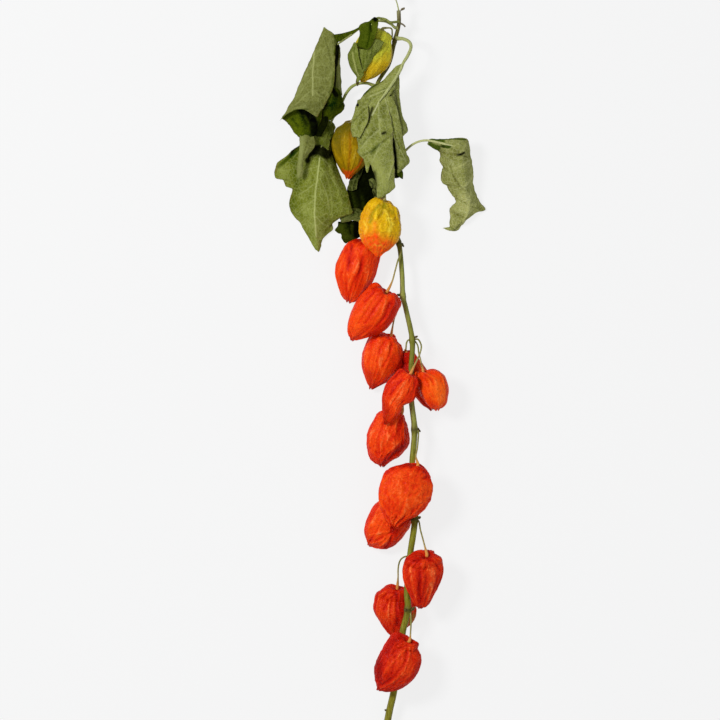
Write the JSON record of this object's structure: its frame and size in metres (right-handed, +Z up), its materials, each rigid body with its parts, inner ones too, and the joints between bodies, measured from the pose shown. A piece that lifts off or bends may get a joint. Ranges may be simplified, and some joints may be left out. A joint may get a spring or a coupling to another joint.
{
  "type": "physalis stem",
  "caption": "Cut and dried physalis stem lying flat: a jointed green stem with papery orange-red lanterns on thin stalks, wilted leaves at the top and small dried buds.",
  "frame": {"origin": "bottom centre of the box round the whole stem, on the surface it lies on", "axes": "+Y along the stem from the cut end to the tip, +Z up from the surface, +X to the right seen from above"},
  "size_m": [0.2516, 1.0004, 0.0697],
  "materials": {
    "stem_green": "olive green bark, faintly ribbed, paler at the joints, matt",
    "stalk_tan": "greenish tan, orange towards the lantern, matt",
    "husk_red": "thin papery orange-red skin with raised veins and deeper red hollows, slight sheen",
    "husk_yellow": "half ripe papery skin, yellow and mustard with green and orange patches, raised veins",
    "leaf_green": "wilted grey-green leaf with pale veins, matt",
    "leaf_shade": "dark green upper side of a wilted leaf, matt",
    "bud_brown": "dried brown-green bud, matt"
  },
  "bodies": {
    "root": {"stem": "stem_green", "lantern_01": "husk_yellow", "lantern_02": "husk_yellow", "lantern_03": "husk_yellow", "lantern_04": "husk_red", "lantern_05": "husk_red", "lantern_06": "husk_red", "lantern_07": "husk_red", "lantern_08": "husk_red", "lantern_09": "husk_red", "lantern_10": "husk_red", "lantern_11": "husk_red", "lantern_12": "husk_red", "lantern_13": "husk_red", "lantern_14": "husk_red", "lantern_15": "husk_red", "stalk_01": "stalk_tan", "stalk_02": "stalk_tan", "stalk_03": "stalk_tan", "stalk_04": "stalk_tan", "stalk_05": "stalk_tan", "stalk_06": "stalk_tan", "stalk_07": "stalk_tan", "stalk_08": "stalk_tan", "stalk_09": "stalk_tan", "stalk_10": "stalk_tan", "stalk_11": "stalk_tan", "stalk_12": "stalk_tan", "stalk_13": "stalk_tan", "stalk_14": "stalk_tan", "stalk_15": "stalk_tan", "leaf_upper_left": "leaf_green", "leaf_lower_left": "leaf_green", "leaf_centre": "leaf_green", "leaf_right": "leaf_green", "leaf_tip": "leaf_green", "leaf_under": "leaf_shade", "leaf_on_lantern": "leaf_shade", "bud_01": "bud_brown", "bud_02": "bud_brown", "bud_03": "bud_brown", "bud_04": "bud_brown", "bud_05": "bud_brown"}
  },
  "joints": []
}
